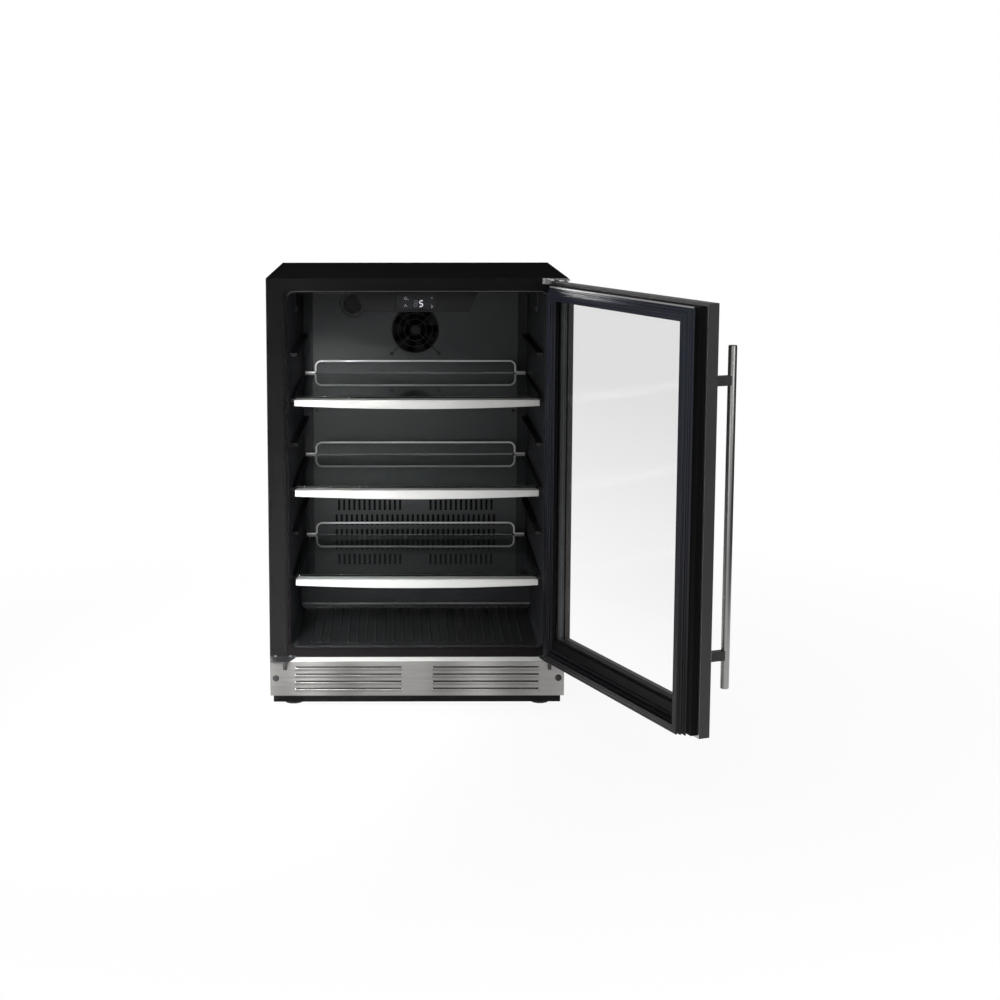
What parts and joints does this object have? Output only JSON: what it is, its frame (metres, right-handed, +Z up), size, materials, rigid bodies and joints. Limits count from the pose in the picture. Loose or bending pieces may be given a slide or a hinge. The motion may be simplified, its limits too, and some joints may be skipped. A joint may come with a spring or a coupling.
{
  "type": "mini fridge",
  "caption": "Under-counter cabinet refrigerator with a glazed side-hinged door, glass shelves on wall ledges, a fan-cooled rear panel, louvred kick plate and levelling feet.",
  "frame": {"origin": "on the floor, at the centre of the cabinet's footprint (the door isn't counted)", "axes": "+Z up; -Y is the side with the door; +X to the right of a person who faces the door side, where the hinge is"},
  "size_m": [0.836, 1.1349, 0.875],
  "materials": {
    "black_steel": "satin black powder coat on folded sheet",
    "base_steel": "black paint on folded sheet",
    "foam": "foamed insulation",
    "liner_grey": "dark grey moulded liner, satin",
    "panel_grey": "dark grey moulded panel, fine texture",
    "frame_plastic": "black-brown plastic, satin",
    "door_plastic": "black plastic, satin",
    "fan_black": "black moulded plastic",
    "coil_aluminium": "plain finned aluminium",
    "screw_steel": "zinc-plated steel",
    "display_black": "gloss black window",
    "lamp_white": "translucent white plastic",
    "kick_steel": "brushed stainless sheet",
    "bracket_steel": "dark grey coated plate",
    "bracket_bright": "zinc-plated plate",
    "compressor_black": "black enamel",
    "rubber_black": "matte rubber",
    "condenser_steel": "black-brown painted tube",
    "copper": "drawn copper tube",
    "tray_grey": "grey moulded plastic",
    "door_steel": "brushed stainless steel",
    "gasket_grey": "dark blue-grey extruded gasket",
    "glass_clear": "clear float glass",
    "spacer_aluminium": "perforated aluminium bar",
    "handle_steel": "brushed stainless steel tube",
    "bush_white": "natural nylon",
    "shelf_glass": "toughened clear glass",
    "trim_steel": "satin anodised aluminium",
    "wire_steel": "bright-plated wire",
    "foot_black": "black moulded plastic"
  },
  "bodies": {
    "cabinet": {"cabinet_shell": "black_steel", "rear_panel": "black_steel", "insulation": "foam", "inner_liner": "liner_grey", "front_frame": "frame_plastic", "liner_floor": "panel_grey", "shelf_ledges": "liner_grey", "evaporator_cover": "panel_grey", "fan_guard": "fan_black", "filter_cap": "panel_grey", "evaporator_coil": "coil_aluminium", "evaporator_fan_frame": "fan_black", "panel_screws": "screw_steel", "control_housing": "panel_grey", "display_panel": "display_black", "side_lights": "lamp_white", "base_frame": "base_steel", "kick_plate": "kick_steel", "kick_screws": "screw_steel", "upper_hinge_bracket": "bracket_bright", "lower_hinge_bracket": "bracket_steel", "spare_hinge_bracket": "bracket_steel", "hinge_screws": "screw_steel", "compressor": "compressor_black", "compressor_mounts": "rubber_black", "condenser_coil": "condenser_steel", "condenser_fan_frame": "fan_black", "drip_tray": "tray_grey", "discharge_tube": "copper", "control_box": "tray_grey", "machine_cover": "black_steel", "cover_screws": "screw_steel", "mains_gland": "rubber_black"},
    "door": {"door_frame": "door_steel", "door_inner_frame": "door_plastic", "door_gasket": "gasket_grey", "outer_glass": "glass_clear", "inner_glass": "glass_clear", "glass_spacer": "spacer_aluminium", "handle_bar": "handle_steel", "handle_posts": "handle_steel", "door_bushes": "bush_white"},
    "shelf_1": {"shelf_glass_1": "shelf_glass", "shelf_trim_1": "trim_steel", "shelf_guard_1": "wire_steel"},
    "shelf_2": {"shelf_glass_2": "shelf_glass", "shelf_trim_2": "trim_steel", "shelf_guard_2": "wire_steel"},
    "shelf_3": {"shelf_glass_3": "shelf_glass", "shelf_trim_3": "trim_steel", "shelf_guard_3": "wire_steel"},
    "evaporator_fan": {"evaporator_fan_rotor": "fan_black"},
    "condenser_fan": {"condenser_fan_rotor": "fan_black"},
    "levelling_fl": {"foot_fl": "foot_black"},
    "levelling_fr": {"foot_fr": "foot_black"},
    "levelling_rl": {"foot_rl": "foot_black"},
    "levelling_rr": {"foot_rr": "foot_black"}
  },
  "joints": [
    {"name": "door_hinge", "type": "hinge", "parent": "cabinet", "child": "door", "pos_m": [0.281, -0.3145, 0], "axis": [0, 0, 1], "range_deg": [-111.5, 8.5]},
    {"name": "shelf_slide_1", "type": "slide", "parent": "cabinet", "child": "shelf_1", "axis": [0, -1, 0], "range_m": [0, 0.024]},
    {"name": "shelf_slide_2", "type": "slide", "parent": "cabinet", "child": "shelf_2", "axis": [0, -1, 0], "range_m": [0, 0.024]},
    {"name": "shelf_slide_3", "type": "slide", "parent": "cabinet", "child": "shelf_3", "axis": [0, -1, 0], "range_m": [0, 0.024]},
    {"name": "evaporator_fan_spin", "type": "hinge", "parent": "cabinet", "child": "evaporator_fan", "pos_m": [0, 0.2258, 0.728], "axis": [0, 1, 0], "continuous": true},
    {"name": "condenser_fan_spin", "type": "hinge", "parent": "cabinet", "child": "condenser_fan", "pos_m": [-0.07, 0.1955, 0.0703], "axis": [-1, 0, 0], "continuous": true},
    {"name": "foot_turn_fl", "type": "hinge", "parent": "cabinet", "child": "levelling_fl", "pos_m": [-0.253, -0.2105, 0], "axis": [0, 0, 1], "continuous": true},
    {"name": "foot_turn_fr", "type": "hinge", "parent": "cabinet", "child": "levelling_fr", "pos_m": [0.253, -0.2105, 0], "axis": [0, 0, 1], "continuous": true},
    {"name": "foot_turn_rl", "type": "hinge", "parent": "cabinet", "child": "levelling_rl", "pos_m": [-0.253, 0.2375, 0], "axis": [0, 0, 1], "continuous": true},
    {"name": "foot_turn_rr", "type": "hinge", "parent": "cabinet", "child": "levelling_rr", "pos_m": [0.253, 0.2375, 0], "axis": [0, 0, 1], "continuous": true}
  ]
}
